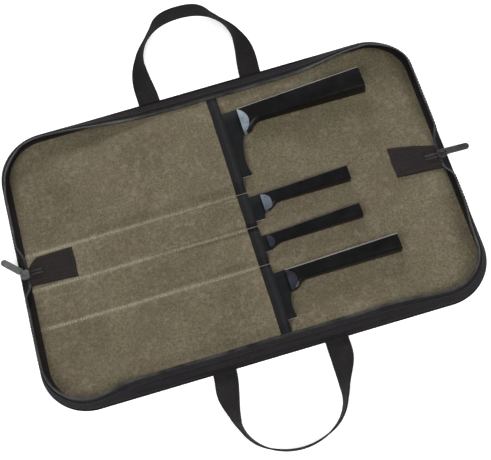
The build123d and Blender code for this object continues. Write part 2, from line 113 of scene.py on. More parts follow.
def round_angles(count):
    """count even angles, once round."""
    return steps(0, 2 * pi, count)[:-1]


def rumple(x, y, scale, seed):
    """Smooth random height, about -1 to 1, that varies over scale millimetres."""
    return noise.noise(Vector((x / scale, y / scale, seed)))


# ---------------- meshes
CLOTH_CREASE = 42.0  # edges of cloth and of hard pieces that turn by more degrees than this look sharp
HARD_CREASE = 50.0
BEAD_SIDES = 6
BEAD_PROFILE = ((-1.0, 0.45), (-0.72, 1.0), (0.72, 1.0), (1.0, 0.45))  # (place along, girth) as shares
THREAD_PROUD = 0.3  # how far a stitch's middle lies above its cloth, as a share of its thickness
SAME_POINT = 2e-6  # metres
SAME_PLANE = 0.5  # degrees
ROUNDED_FROM = 28.0  # a hard piece's edges that turn by more degrees than this are rounded
ROUNDING_SEGMENTS = 3


def put_in_scene(name, data):
    made = bpy.data.objects.new(name, data)
    bpy.context.scene.collection.objects.link(made)
    return made


def new_piece(name, vertices, faces, material, uvs=None, wear_and_sheen=None):
    """A smooth mesh object from millimetres.

    uvs gives one (along, across) in millimetres for each vertex, and the last argument says how worn its
    cloth is there, from 0 to 1.
    """
    mesh = bpy.data.meshes.new(name)
    mesh.from_pydata([Vector(v) * MM for v in vertices], [], faces)
    if wear_and_sheen:
        wear = mesh.attributes.new("wear_and_sheen", "FLOAT", "POINT")
        for i, value in enumerate(wear_and_sheen):
            wear.data[i].value = value
    if uvs:
        layer = mesh.uv_layers.new(name="cloth")
        for loop in mesh.loops:
            u, v = uvs[loop.vertex_index]
            layer.data[loop.index].uv = (u / CM, v / CM)
    mesh.update()
    edit = bmesh.new()
    edit.from_mesh(mesh)
    bmesh.ops.recalc_face_normals(edit, faces=edit.faces)
    edit.to_mesh(mesh)
    edit.free()
    for face in mesh.polygons:
        face.use_smooth = True
    mesh.set_sharp_from_angle(angle=radians(CLOTH_CREASE))
    mesh.materials.append(material)
    piece = put_in_scene(name, mesh)
    return piece


def cloth_sheet(name, columns, rows, top, bottom, material, wear=None):
    """A closed sheet of cloth. top(column, row) and bottom(column, row) are points of its two faces."""
    vertices = [top(c, r) for r in rows for c in columns]
    count = len(vertices)
    vertices += [bottom(c, r) for r in rows for c in columns]
    wide = len(columns)
    faces = []
    for r in range(len(rows) - 1):
        for c in range(wide - 1):
            corner = r * wide + c
            quad = (corner, corner + 1, corner + wide + 1, corner + wide)
            faces.append(quad)
            faces.append(tuple(count + i for i in reversed(quad)))
    last = (len(rows) - 1) * wide
    border = list(range(wide))
    border += [r * wide + wide - 1 for r in range(1, len(rows))]
    border += [last + c for c in range(wide - 2, -1, -1)]
    border += [r * wide for r in range(len(rows) - 2, 0, -1)]
    for here, there in zip(border, border[1:] + border[:1]):
        faces.append((there, here, count + here, count + there))
    uvs = [(v[0], v[1]) for v in vertices]
    wear_and_sheen = [wear(v[0], v[1]) for v in vertices] if wear else None
    return new_piece(name, vertices, faces, material, uvs, wear_and_sheen)


def band(name, rings, material, along=None):
    """A solid through a row of closed rings of points, with capped ends."""
    size = len(rings[0])
    vertices = [p for ring in rings for p in ring]
    faces = []
    for i in range(len(rings) - 1):
        for j in range(size):
            k = (j + 1) % size
            faces.append((i * size + j, i * size + k, (i + 1) * size + k, (i + 1) * size + j))
    faces.append(tuple(range(size)))
    faces.append(tuple(range(len(vertices) - 1, len(vertices) - size - 1, -1)))
    uvs = []
    travelled = 0.0
    for i, ring in enumerate(rings):
        if i:
            travelled += (Vector(ring[0]) - Vector(rings[i - 1][0])).length
        around = 0.0
        for j, point in enumerate(ring):
            if j:
                around += (Vector(point) - Vector(ring[j - 1])).length
            uvs.append((along[i] if along else travelled, around))
    return new_piece(name, vertices, faces, material, uvs)


def beads(name, frames, half_size, material):
    """Many small rounded bars in one mesh. frames gives the centre, along, side and up of each."""
    length, width, height = half_size
    outline = [(cos(a) * width, sin(a) * height) for a in round_angles(BEAD_SIDES)]
    vertices = []
    faces = []
    for centre, along, side, up in frames:
        start = len(vertices)
        for offset, girth in BEAD_PROFILE:
            for across, rise in outline:
                vertices.append(centre + along * length * offset + (side * across + up * rise) * girth)
        last = len(vertices) - BEAD_SIDES
        for ring in range(start, last, BEAD_SIDES):
            for j in range(BEAD_SIDES):
                k = (j + 1) % BEAD_SIDES
                faces.append((ring + j, ring + k, ring + BEAD_SIDES + k, ring + BEAD_SIDES + j))
        faces.append(tuple(reversed(range(start, start + BEAD_SIDES))))
        faces.append(tuple(range(last, last + BEAD_SIDES)))
    return new_piece(name, vertices, faces, material)


def stitches(name, route, material, length=2.4, pitch=3.6, thickness=0.32):
    """A row of thread stitches along a list of (point, up) pairs."""
    frames = []
    wait = pitch / 2
    for (a, up), (b, _) in zip(route, route[1:]):
        step = Vector(b) - Vector(a)
        along = step.normalized()
        normal = Vector(up).normalized()
        side = along.cross(normal).normalized()
        while wait < step.length:
            centre = Vector(a) + along * wait + normal * thickness * THREAD_PROUD
            frames.append((centre, along, side, normal))
            wait += pitch
        wait -= step.length
    return beads(name, frames, (length / 2, thickness, thickness), material)


def finished_copy(node, body, material, bevel, edge_material=None, on_edge=None):
    """A CAD node's own shape with its edges softened, standing for the node."""
    mesh = frame["nodes"][node].data.copy()
    mesh.name = f"{node}_finished"
    edit = bmesh.new()
    edit.from_mesh(mesh)
    bmesh.ops.remove_doubles(edit, verts=edit.verts, dist=SAME_POINT)
    bmesh.ops.dissolve_limit(edit, angle_limit=radians(SAME_PLANE), verts=edit.verts, edges=edit.edges)
    edit.to_mesh(mesh)
    edit.free()
    mesh.materials.clear()
    mesh.materials.append(material)
    piece = put_in_scene(mesh.name, mesh)
    rounding = piece.modifiers.new("rounding", "BEVEL")
    rounding.width = bevel * MM
    rounding.segments = ROUNDING_SEGMENTS
    rounding.limit_method = "ANGLE"
    rounding.angle_limit = radians(ROUNDED_FROM)
    rounding.use_clamp_overlap = True
    apply_modifiers(piece)
    for face in piece.data.polygons:
        face.use_smooth = True
    piece.data.set_sharp_from_angle(angle=radians(HARD_CREASE))
    if edge_material:
        piece.data.materials.append(edge_material)
        for face in piece.data.polygons:
            face.material_index = 1 if on_edge(face) else 0
    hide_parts(node)
    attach(piece, body)
    return piece


def apply_modifiers(piece):
    """Writes a piece's modifiers into its mesh."""
    bpy.context.view_layer.update()
    graph = bpy.context.evaluated_depsgraph_get()
    mesh = bpy.data.meshes.new_from_object(piece.evaluated_get(graph))
    piece.modifiers.clear()
    piece.data = mesh


# ---------------- materials
def linear(red, green, blue):
    """A linear colour from one given on the 0 to 255 screen scale."""
    out = []
    for value in (red, green, blue):
        v = value / 255
        out.append(v / 12.92 if v <= 0.04045 else ((v + 0.055) / 1.055) ** 2.4)
    return (*out, 1.0)


def shifted(colour, change):
    """linear() of a colour made lighter by change, or darker where it is negative."""
    return linear(*[c + change for c in colour])


def grey(level):
    return linear(level, level, level)


BAND_RADIANS = 20  # what Blender's band texture turns through in one unit, at a scale of 1
BLACK = (0, 0, 0, 1)
WHITE = (1, 1, 1, 1)


class Shader:
    """A material's node tree, with short ways to add what these materials share."""

    def __init__(self, name, roughness, metallic=0.0, specular=0.5):
        self.material = bpy.data.materials.new(name)
        self.material.use_nodes = True
        self.tree = self.material.node_tree
        self.surface = self.tree.nodes["Principled BSDF"]
        inputs = {"Roughness": roughness, "Metallic": metallic, "Specular IOR Level": specular}
        self.feed(self.surface, inputs)
        self.height = None

    def feed(self, node, inputs):
        """Gives inputs of a node, by name or number, a plain value each or the output of another node."""
        for key, value in inputs.items():
            if isinstance(value, bpy.types.NodeSocket):
                self.tree.links.new(value, node.inputs[key])
            else:
                node.inputs[key].default_value = value

    def add(self, kind, inputs=None, **settings):
        node = self.tree.nodes.new(kind)
        for key, value in settings.items():
            setattr(node, key, value)
        self.feed(node, inputs or {})
        return node

    def place(self, kind="Object"):
        """Where a point is: on the object, in metres, or along and across the cloth, in centimetres."""
        return self.add("ShaderNodeTexCoord").outputs[kind]

    def scaled(self, vector, scale):
        return self.add("ShaderNodeMapping", {"Scale": scale, "Vector": vector}).outputs["Vector"]

    def noise(self, size_mm, detail=3.0, rough=0.55, vector=None):
        """Noise whose features are about size_mm across."""
        inputs = {"Scale": 1 / (size_mm * MM), "Detail": detail, "Roughness": rough}
        inputs["Vector"] = vector or self.place()
        return self.add("ShaderNodeTexNoise", inputs).outputs["Fac"]

    def ribs(self, vector, direction, pitch):
        """Ribs across the cloth, one for each pitch of the vector's own unit."""
        inputs = {"Scale": 2 * pi / (BAND_RADIANS * pitch), "Distortion": 0.0, "Vector": vector}
        node = self.add("ShaderNodeTexWave", inputs, wave_type="BANDS", bands_direction=direction)
        return node.outputs["Fac"]

    def ramp(self, value, stops):
        """A colour for a value from (position, colour) stops."""
        node = self.add("ShaderNodeValToRGB", {"Fac": value})
        ramp = node.color_ramp
        while len(ramp.elements) < len(stops):
            ramp.elements.new(0.5)
        for element, (position, colour) in zip(ramp.elements, stops):
            element.position = position
            element.color = colour
        return node.outputs["Color"]

    def blend_colours(self, share, first, second, mode="MIX"):
        inputs = {"Factor": share, 6: first, 7: second}
        return self.add("ShaderNodeMix", inputs, data_type="RGBA", blend_type=mode).outputs[2]

    def maths(self, operation, first, second, clamp=False):
        node = self.add("ShaderNodeMath", {0: first, 1: second}, operation=operation, use_clamp=clamp)
        return node.outputs[0]

    def colour(self, value):
        self.feed(self.surface, {"Base Color": value})

    def rough(self, value, low, high):
        node = self.add("ShaderNodeMapRange", {"To Min": low, "To Max": high, "Value": value})
        self.feed(self.surface, {"Roughness": node.outputs["Result"]})

    def bump(self, height, depth_mm, strength=1.0):
        """Adds relief of about depth_mm on top of what is already there."""
        inputs = {"Strength": strength, "Distance": depth_mm * MM, "Height": height}
        if self.height:
            inputs["Normal"] = self.height
        self.height = self.add("ShaderNodeBump", inputs).outputs["Normal"]
        self.feed(self.surface, {"Normal": self.height})


CANVAS_YARN = 0.62  # from one yarn of the canvas to the next


def waxed_canvas(name, light, middle, dark):
    """Plain-woven cotton, waxed: soft blotches, fine speckle, paler rubbed seams and a visible weave."""
    s = Shader(name, roughness=0.8, specular=0.15)
    blotches = s.noise(70, detail=5.0, rough=0.62)
    base = s.ramp(blotches, ((0.30, linear(*dark)), (0.50, linear(*middle)), (0.70, linear(*light))))
    speckle = s.noise(2.2, detail=4.0, rough=0.75)
    grain = s.ramp(speckle, ((0.30, linear(146, 145, 142)), (0.72, linear(228, 228, 224))))
    base = s.blend_colours(1.0, base, grain, "OVERLAY")
    seams = s.add("ShaderNodeAttribute", attribute_name="wear_and_sheen").outputs["Fac"]
    flecks = s.ramp(s.noise(1.7, detail=3.0, rough=0.8), ((0.38, (0.25, 0.25, 0.25, 1)), (0.58, WHITE)))
    scuffs = s.maths("MULTIPLY", s.noise(24, detail=5.0, rough=0.7), s.noise(6.0, detail=3.0, rough=0.7))
    scuffs = s.ramp(scuffs, ((0.25, BLACK), (0.42, WHITE)))
    pale = s.maths("ADD", s.maths("MULTIPLY", seams, flecks), s.maths("MULTIPLY", scuffs, 0.30), clamp=True)
    brown = s.ramp(s.noise(48, detail=4.0, rough=0.6), ((0.42, BLACK), (0.68, WHITE)))
    red, green, blue = middle
    base = s.blend_colours(s.maths("MULTIPLY", brown, 0.28), base, linear(red + 6, green - 6, blue - 3))
    base = s.blend_colours(s.maths("MULTIPLY", pale, 0.85), base, shifted(light, 42))
    yarns = [s.ribs(s.place(), direction, CANVAS_YARN * MM) for direction in "XY"]
    weave = s.maths("MULTIPLY", *yarns)
    base = s.blend_colours(s.maths("MULTIPLY", weave, 0.20), base, shifted(dark, -26))
    s.colour(base)
    s.rough(pale, 0.85, 0.72)
    s.bump(s.noise(26, detail=4.0, rough=0.55), 0.8, 0.6)
    s.bump(s.noise(3.2, detail=3.0, rough=0.65), 0.22, 0.6)
    s.bump(weave, 0.10, 0.6)
    return s.material


def dark_cloth(name, base, paler_tone, rib_mm, across_mm, rib_depth, roughness=0.85):
    """Black or charcoal nylon: ribs along and across its length, dust in the ribs and paler worn spots."""
    s = Shader(name, roughness=roughness, specular=0.10)
    cloth = s.place("UV")
    weave = s.maths("MULTIPLY", s.ribs(cloth, "Y", across_mm / CM), s.ribs(cloth, "X", rib_mm / CM))
    blotches = s.noise(14, detail=4.0, rough=0.65)
    colour = s.ramp(blotches, ((0.32, linear(*base)), (0.72, linear(*paler_tone))))
    thread = s.blend_colours(s.maths("MULTIPLY", weave, 0.6), colour, shifted(paler_tone, 16))
    speckle = s.ramp(s.noise(1.2, detail=2.0, rough=0.8), ((0.35, grey(140)), (0.7, grey(222))))
    s.colour(s.blend_colours(0.7, thread, speckle, "OVERLAY"))
    s.rough(blotches, roughness - 0.1, min(1.0, roughness + 0.1))
    s.bump(s.noise(9, detail=3.0), 0.3, 0.5)
    s.bump(weave, rib_depth, 0.8)
    return s.material


def tape_with_lit_stripe(name, base, middle):
    """Charcoal tape with a paler stripe along its middle, where the fold under it lifts it to the light."""
    s = Shader(name, roughness=0.8, specular=0.12)
    cloth = s.place("UV")
    across = s.add("ShaderNodeSeparateXYZ", {0: cloth})
    stripe = s.ramp(
        s.maths("MULTIPLY", across.outputs["Y"], 0.8),
        ((0.0, linear(*base)), (0.38, linear(*base)), (0.56, linear(*middle)), (0.75, linear(*base))),
    )
    ribs = s.ribs(cloth, "X", 0.075)
    fine = s.ramp(s.noise(2.0, detail=3.0, rough=0.7), ((0.3, grey(150)), (0.7, linear(210, 210, 212))))
    colour = s.blend_colours(1.0, stripe, fine, "OVERLAY")
    s.colour(s.blend_colours(s.maths("MULTIPLY", ribs, 0.25), colour, shifted(middle, 12)))
    s.rough(s.noise(8), 0.7, 0.92)
    s.bump(s.noise(10, detail=3.0), 0.4, 0.5)
    s.bump(ribs, 0.15, 0.8)
    return s.material


def thread(name, colour, shade):
    s = Shader(name, roughness=0.7, specular=0.3)
    s.colour(s.ramp(s.noise(1.6, detail=2.0), ((0.35, linear(*shade)), (0.65, linear(*colour)))))
    s.bump(s.noise(0.5, detail=1.0), 0.08, 0.8)
    return s.material


def moulded(name, base, paler_tone, roughness, specular=0.5):
    """Glossy dark plastic with faint mould texture and random paler patches, which on the coil and the
    handles are a painted sheen.
    """
    s = Shader(name, roughness=roughness, specular=specular)
    tone_patches = s.noise(18, detail=5.0, rough=0.65)
    s.colour(s.ramp(tone_patches, ((0.35, linear(*base)), (0.75, linear(*paler_tone)))))
    s.rough(tone_patches, roughness - 0.05, roughness + 0.12)
    s.bump(s.noise(0.8, detail=2.0), 0.03, 0.35)
    return s.material


def metal(name, base, paler_tone, roughness, brushed_mm=0.0, metallic=1.0, specular=0.3):
    """Metal with smudges, and with fine grinding lines across the blade where brushed_mm is given."""
    s = Shader(name, roughness=roughness, metallic=metallic, specular=specular)
    tone_patches = s.noise(9, detail=5.0, rough=0.65)
    s.colour(s.ramp(tone_patches, ((0.3, linear(*base)), (0.75, linear(*paler_tone)))))
    s.rough(tone_patches, max(0.05, roughness - 0.08), roughness + 0.12)
    if brushed_mm:
        lines = s.noise(brushed_mm, detail=2.0, rough=0.7, vector=s.scaled(s.place(), (1.0, 0.04, 1.0)))
        s.bump(lines, 0.03, 0.4)
    else:
        s.bump(s.noise(0.6, detail=2.0), 0.02, 0.4)
    return s.material


CANVAS = waxed_canvas("waxed_canvas", (98, 92, 76), (91, 85, 69), (82, 76, 62))
OUTER_CANVAS = waxed_canvas("outer_canvas", (94, 88, 70), (86, 79, 62), (76, 70, 54))
GUSSET = dark_cloth("gusset_nylon", (26, 24, 26), (34, 32, 34), 0.55, 0.55, 0.10)
TAB_CLOTH = dark_cloth("tab_nylon", (31, 26, 26), (39, 34, 33), 1.1, 0.5, 0.14)
# the seam tape's very dark colour is partly its own and partly painted shade inside the rim
SEAM_TAPE = dark_cloth("seam_tape", (22, 18, 19), (32, 27, 27), 0.8, 0.8, 0.12)
ZIP_TAPE = dark_cloth("zip_tape", (25, 24, 25), (38, 37, 38), 0.9, 0.45, 0.12)
WEBBING = dark_cloth("webbing", (24, 22, 23), (34, 32, 33), 1.3, 1.6, 0.28)
PIPING = dark_cloth("piping", (17, 16, 17), (26, 25, 26), 0.7, 0.7, 0.10)
# the binding's paler middle stripe is a painted highlight
BINDING = tape_with_lit_stripe("binding_tape", (23, 22, 22), (32, 33, 36))
TAN_THREAD = thread("tan_thread", (178, 170, 146), (112, 105, 88))
PALE_THREAD = thread("pale_thread", (134, 128, 104), (110, 104, 84))
DARK_THREAD = thread("dark_thread", (46, 43, 43), (32, 30, 30))
# the paler patches in the coil's colour are painted highlights on its teeth
COIL = moulded("zip_coil", (30, 29, 30), (92, 90, 92), 0.42, specular=0.35)
# the handle's paler purplish patches are a painted dim reflection
HANDLE = moulded("black_handle", (2, 2, 2), (15, 13, 16), 0.2, specular=0.34)
# painted highlights: the pale colours of the handles' back chamfers, stronger on the cleaver and the chef's
# knife
STRONG_CHAMFER_HIGHLIGHT = moulded("strong_chamfer_highlight", (112, 108, 106), (140, 136, 134), 0.22, specular=0.5)
FAINT_CHAMFER_HIGHLIGHT = moulded("faint_chamfer_highlight", (52, 49, 48), (70, 67, 66), 0.22, specular=0.5)
COATED = metal("coated_steel", (9, 11, 13), (16, 18, 21), 0.5, brushed_mm=0.6, metallic=0.0, specular=0.12)
GROUND = metal("ground_edge", (180, 180, 178), (208, 208, 206), 0.28, brushed_mm=0.5, metallic=0.4)
# painted light: the three bolster materials are lit, half-shaded and shaded copies of one steel
LIT_BOLSTER = metal("polished_steel", (112, 124, 133), (146, 159, 168), 0.26, brushed_mm=0.5, metallic=0.35)
HALF_SHADED_BOLSTER = metal("half_shaded_steel", (76, 84, 94), (112, 120, 131), 0.28, brushed_mm=0.5, metallic=0.35)
SHADED_BOLSTER = metal("shaded_steel", (28, 29, 38), (52, 53, 63), 0.30, brushed_mm=0.5, metallic=0.3)
# painted light: lit and shaded copies of one gunmetal, the right slider and pull painted darker for the shade
# they lie in
LIT_GUNMETAL = metal("gunmetal", (92, 93, 91), (116, 117, 114), 0.38, metallic=0.5)
SHADED_GUNMETAL = metal("shaded_gunmetal", (50, 50, 50), (74, 74, 74), 0.40, metallic=0.5)


# ---------------- baking pieces in place, and the folds
def blend_half(piece, side, start, end):
    """Bakes the piece's placement into its mesh. side, start and end are not used."""
    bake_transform(piece)


CREASE = (FOLD_Y + 2.5, FOLD_Y - 2.5)  # a sharp crease in the lining
SPINE_BEND = (FOLD_Y + 5.0, FOLD_Y - 5.0)  # the outer canvas bends more roundly
GUSSET_BEND = (FOLD_Y + 14.0, FOLD_Y - 14.0)  # the rim's slack cloth

SIDES = (("front", -1), ("back", 1))
ENDS = (("left", -1), ("right", 1))


# ---------------- lining and outer canvas
def panel_half_width(y, inset):
    """Half the case's width at a distance y from the middle, with its rounded corners."""
    radius = CORNER_RADIUS - inset
    past = abs(y) - STRAIGHT_Y
    if past <= 0:
        return EDGE_X - inset
    return STRAIGHT_X + sqrt(max(0.0, radius * radius - past * past))


def corner_rows(inset, last_angle, count):
    """Distances from the middle of the spine round a corner, for cloth that ends inset inside the outline."""
    return [STRAIGHT_Y + (CORNER_RADIUS - inset) * sin(a) for a in steps(0.06, last_angle, count)]


def panel_rows(inset):
    """Distances from the middle, closer together at the fold and round the corner."""
    rows = steps(0, 14, 4) + steps(15, 25, 12) + steps(28, STRAIGHT_Y, 26)
    return rows + corner_rows(inset, pi / 2 * 0.985, 14)


def away_from_edge(x, y, run):
    """0 at the case's outline, rising to 1 over run millimetres."""
    return max(0.0, min(1.0, (EDGE_X - abs(x)) / run, (EDGE_Y - abs(y)) / run))


def lining_relief(x, y):
    """The soft, slightly rumpled surface of the lining."""
    calm = min(1.0, abs(abs(y) - FOLD_Y) / 9)
    return away_from_edge(x, y, 18) * calm * (0.16 * rumple(x, y, 38, 2.1) + 0.08 * rumple(x, y, 13, 5.3))


def make_panels():
    for name, side in SIDES:
        def at(c, r, z):
            return (c * panel_half_width(r, COVER_INSET), side * r, z)

        def top(c, r):
            x, y, z = at(c, r, LINING_TOP)
            return (x, y, z + lining_relief(x, y))

        def under(c, r):
            return at(c, r, LINING_TOP - LINING_THICKNESS)

        lining = cloth_sheet(f"{name}_lining_cloth", steps(-1, 1, 150), panel_rows(COVER_INSET), top, under,
                             CANVAS)
        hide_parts(f"{name}_lining", "spine_lining")
        blend_half(lining, side, *CREASE)

        def cover_top(c, r):
            return at(c, r, COVER_THICKNESS)

        def cover_under(c, r):
            x, y, z = at(c, r, 0.0)
            return (x, y, z + away_from_edge(x, y, 14) * (0.16 + 0.16 * rumple(x, y, 44, 8.7)))

        cover = cloth_sheet(f"{name}_cover_cloth", steps(-1, 1, 90), panel_rows(COVER_INSET), cover_top,
                            cover_under, OUTER_CANVAS)
        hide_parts(f"{name}_cover", "spine_cover")
        blend_half(cover, side, *SPINE_BEND)


# ---------------- the rim
# A station of the rim is a point on the case's outline with the way inwards. The rim's cloth rises from it,
# bends inwards by its lean and ends in the zip tape and its teeth. It stands on the short sides and the
# corners, lies down over the lining on the long sides, and runs out low at the sliders.
WALL_BEND = 5.6
GUSSET_CLOTH = 11.9
TAPE_CLOTH = 4.6
FULL_SHAPE = (WALL_BEND, GUSSET_CLOTH, TAPE_CLOTH)
LOW_SHAPE = (4.0, 3.4, 3.0)  # the same three beside the sliders
TEETH_REACH = 2.6  # the teeth beyond the tape
BEND_RUN = (2.6, 3.2)  # the bend is spread over this much cloth on either side of it
BULGE = 5.0  # how far standing cloth bulges outwards, in degrees
RIM_PITCH = 3.0
TOOTH_PITCH = 1.55
TOOTH = (1.7, 0.56, 1.0)
UPRIGHT_LEAN = 17.0
FLAT_LEAN = 88.0
RIM_LOW = 5.0  # where the rim is lowest, from the middle of the spine
RIM_FULL = 54.0  # where it has risen to its full height
CLOTH = 1.3
HEM_LAP = 1.9  # the gusset's hem starts this far before its edge, and the tape and the stitches less far
TAPE_LAP = 1.2
STITCH_LAP = 0.9
WELT_RADIUS = 1.15
LYING_TUCK = 0.10  # share of the cloth that is tucked under where it lies down
FLAT_STRETCH = {  # the lying stretch of each long side: (upright, flat, flat, upright) along X
    "front": (-182.0, -116.0, 84.0, 182.0),
    "back": (-182.0, -34.0, 88.0, 182.0),
}
CORNER_LEAN = {"front": (22.0, 32.0), "back": (40.0, 46.0)}   # at the left and the right corner
LEAN_START = {"front": (90.0, 52.0), "back": (80.0, 108.0)}    # where the short sides start towards it
LEAN_RUN = 60.0


def rim_stations(side, pitch):
    """(x, y, inward x, inward y, distance travelled) round a half, from the spine's left end to its right."""
    corner = CORNER_RADIUS * pi / 2
    total = 2 * (STRAIGHT_Y + corner + STRAIGHT_X)
    stations = []
    for travelled in steps(0, total, round(total / pitch)):
        end = -1 if travelled <= total / 2 else 1
        s = min(travelled, total - travelled)
        if s <= STRAIGHT_Y:
            x, y, inward_x, inward_y = EDGE_X, s, -1, 0
        elif s <= STRAIGHT_Y + corner:
            a = (s - STRAIGHT_Y) / CORNER_RADIUS
            inward_x, inward_y = -cos(a), -sin(a)
            x, y = STRAIGHT_X - CORNER_RADIUS * inward_x, STRAIGHT_Y - CORNER_RADIUS * inward_y
        else:
            x, y, inward_x, inward_y = STRAIGHT_X + STRAIGHT_Y + corner - s, EDGE_Y, 0, -1
        stations.append((end * x, side * y, end * inward_x, side * inward_y, travelled))
    return stations


def rim_shape(name, x, y):
    """(bend height, lean in degrees, gusset length, tape length) at a station."""
    full = smooth_step(abs(y), RIM_LOW, RIM_FULL)
    corner = CORNER_LEAN[name][1 if x > 0 else 0]
    if abs(y) > EDGE_Y - 0.01:
        start, flat_start, flat_end, end = FLAT_STRETCH[name]
        lying = smooth_step(x, start, flat_start) - smooth_step(x, flat_end, end)
        lean = mix(corner, FLAT_LEAN, lying) + 1.2 * rumple(x, y, 30, 3.3) * (1 - lying)
        slack = 1 + lying * (0.06 * rumple(x, y, 42, 6.1) - LYING_TUCK)
        return (WALL_BEND - 0.5 * lying, lean, GUSSET_CLOTH * slack, TAPE_CLOTH)
    start = LEAN_START[name][1 if x > 0 else 0]
    standing = mix(UPRIGHT_LEAN, corner, smooth_step(abs(y), start, start + LEAN_RUN))
    lean = mix(FLAT_LEAN, standing, smooth_step(abs(y), RIM_LOW + 1.0, 31.0))
    lean += 1.5 * rumple(x, y, 26, 3.3) * full
    bend, gusset, tape = (mix(low, high, full) for low, high in zip(LOW_SHAPE, FULL_SHAPE))
    return (bend, lean, gusset, tape)


def rim_line(name, x, y):
    """The rim's outer face as (inward, up, slope) every half millimetre or so, from the seam to the teeth."""
    bend, lean, gusset, tape = rim_shape(name, x, y)
    length = bend + gusset + tape + TEETH_REACH
    count = 48
    step = length / count
    inward, up = 0.0, 0.0
    line = []
    for i in range(count + 1):
        travelled = i * step
        slope = radians(lean) * smooth_step(travelled, bend - BEND_RUN[0], bend + BEND_RUN[1])
        bulge = radians(BULGE) * sin(pi * min(1.0, travelled / (bend + gusset)))
        angle = slope - bulge * (1 - lean / FLAT_LEAN)
        line.append((inward, up, angle))
        inward += step * sin(angle)
        up += step * cos(angle)
    return line, (bend, gusset, tape, length)


def on_rim(station, line, length, travelled, depth):
    """A point of the rim, travelled millimetres from the seam and depth under its outer face."""
    x, y, inward_x, inward_y, _ = station
    place = min(max(travelled / length, 0.0), 1.0) * (len(line) - 1)
    i = min(int(place), len(line) - 2)
    share = place - i
    inward = mix(line[i][0], line[i + 1][0], share)
    up = mix(line[i][1], line[i + 1][1], share)
    angle = mix(line[i][2], line[i + 1][2], share)
    inward += depth * cos(angle)
    up -= depth * sin(angle)
    return Vector((x + inward_x * inward, y + inward_y * inward, up)), angle


def strip_ring(station, line, length, start, end, top, bottom, count):
    """A closed ring round a strip of the rim, between two distances from the seam."""
    outer = [on_rim(station, line, length, d, top)[0] for d in steps(start, end, count)]
    inner = [on_rim(station, line, length, d, bottom)[0] for d in steps(end, start, count)]
    return outer + inner


def rim_ways(station, angle):
    """Where the rim's face leans by angle at a station: the way on along its cloth, and the way out of it."""
    _, _, inward_x, inward_y, _ = station
    onward = Vector((inward_x * sin(angle), inward_y * sin(angle), cos(angle)))
    return onward, Vector((-inward_x * cos(angle), -inward_y * cos(angle), sin(angle)))


def make_rim():
    for name, side in SIDES:
        gusset, tape, hem, teeth, seam = [], [], [], [], []
        stations = rim_stations(side, RIM_PITCH)
        for station in stations:
            line, (bend, cloth, tape_length, length) = rim_line(name, *station[:2])
            start = bend + cloth
            end = start + tape_length
            gusset.append(strip_ring(station, line, length, 0.0, start, 0.0, CLOTH, 11))
            tape.append(strip_ring(station, line, length, start - TAPE_LAP, end, 0.35, 1.15, 3))
            hem.append(strip_ring(station, line, length, start - HEM_LAP, start + 0.5, -0.35, 0.5, 3))
            point, angle = on_rim(station, line, length, start - STITCH_LAP, -0.42)
            seam.append((point, rim_ways(station, angle)[1]))
        for station in rim_stations(side, TOOTH_PITCH):
            if abs(station[1]) < SLIDER_HALF_WIDTH + 0.6:
                continue
            line, (bend, cloth, tape_length, length) = rim_line(name, *station[:2])
            centre, angle = on_rim(station, line, length, bend + cloth + tape_length + 0.7, 0.75)
            onward, out = rim_ways(station, angle)
            teeth.append((centre, onward, onward.cross(out), out))
        along = [station[4] for station in stations]
        gusset_cloth = band(f"{name}_gusset_cloth", gusset, GUSSET, along)
        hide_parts(f"{name}_gusset")
        tape_cloth = band(f"{name}_tape_cloth", tape, ZIP_TAPE, along)
        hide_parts(f"{name}_zip_tape")
        hem_cloth = band(f"{name}_gusset_hem", hem, GUSSET, along)
        coil = beads(f"{name}_coil", teeth, TOOTH, COIL)
        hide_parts(f"{name}_zip_teeth")
        row = stitches(f"{name}_gusset_stitches", seam, DARK_THREAD)
        for piece in (gusset_cloth, tape_cloth, hem_cloth, coil, row):
            blend_half(piece, side, *GUSSET_BEND)


def make_piping():
    """A round welt along the seam between the outer canvas and the rim."""
    for name, side in SIDES:
        rings = []
        for x, y, inward_x, inward_y, _ in rim_stations(side, 3.5):
            centre = Vector((x - inward_x * 0.15, y - inward_y * 0.15, WELT_RADIUS + 0.05))
            inward = Vector((inward_x, inward_y, 0))
            rings.append([centre + (inward * cos(a) + Vector((0, 0, sin(a)))) * WELT_RADIUS
                          for a in round_angles(8)])
        welt = band(f"{name}_piping", rings, PIPING)
        blend_half(welt, side, *GUSSET_BEND)


def make_seam_tape():
    """Flat tape over the seam between the lining and the rim, inside the case."""
    for name, side in SIDES:
        rings = []
        for x, y, inward_x, inward_y, _ in rim_stations(side, 4.0):
            inner = mix(9.0, 6.8, smooth_step(x, 60, 200)) + 0.3 * rumple(x, y, 20, 8.8)
            section = [(1.3, 3.4), (1.5, 2.1), (3.0, 1.6), (inner - 0.6, 1.35), (inner, 0.9)]
            section += [(inner, 0.02), (1.3, 0.02)]
            rings.append([Vector((x + inward_x * inward, y + inward_y * inward, LINING_TOP + up))
                          for inward, up in section])
        # this dark tape also stands for the shade inside the rim beside the teeth
        tape = band(f"{name}_seam_tape", rings, SEAM_TAPE)
        blend_half(tape, side, *CREASE)


# ---------------- pockets
def blade_line(knife):
    """(tip x, slope, low y, high y) of a blade as it lies."""
    low, high = low_mm(f"{knife}_blade"), high_mm(f"{knife}_blade")
    axis = JOINTS[f"{knife}_draw"]["axis"]
    return low.x, axis[2] / axis[0], low.y, high.y


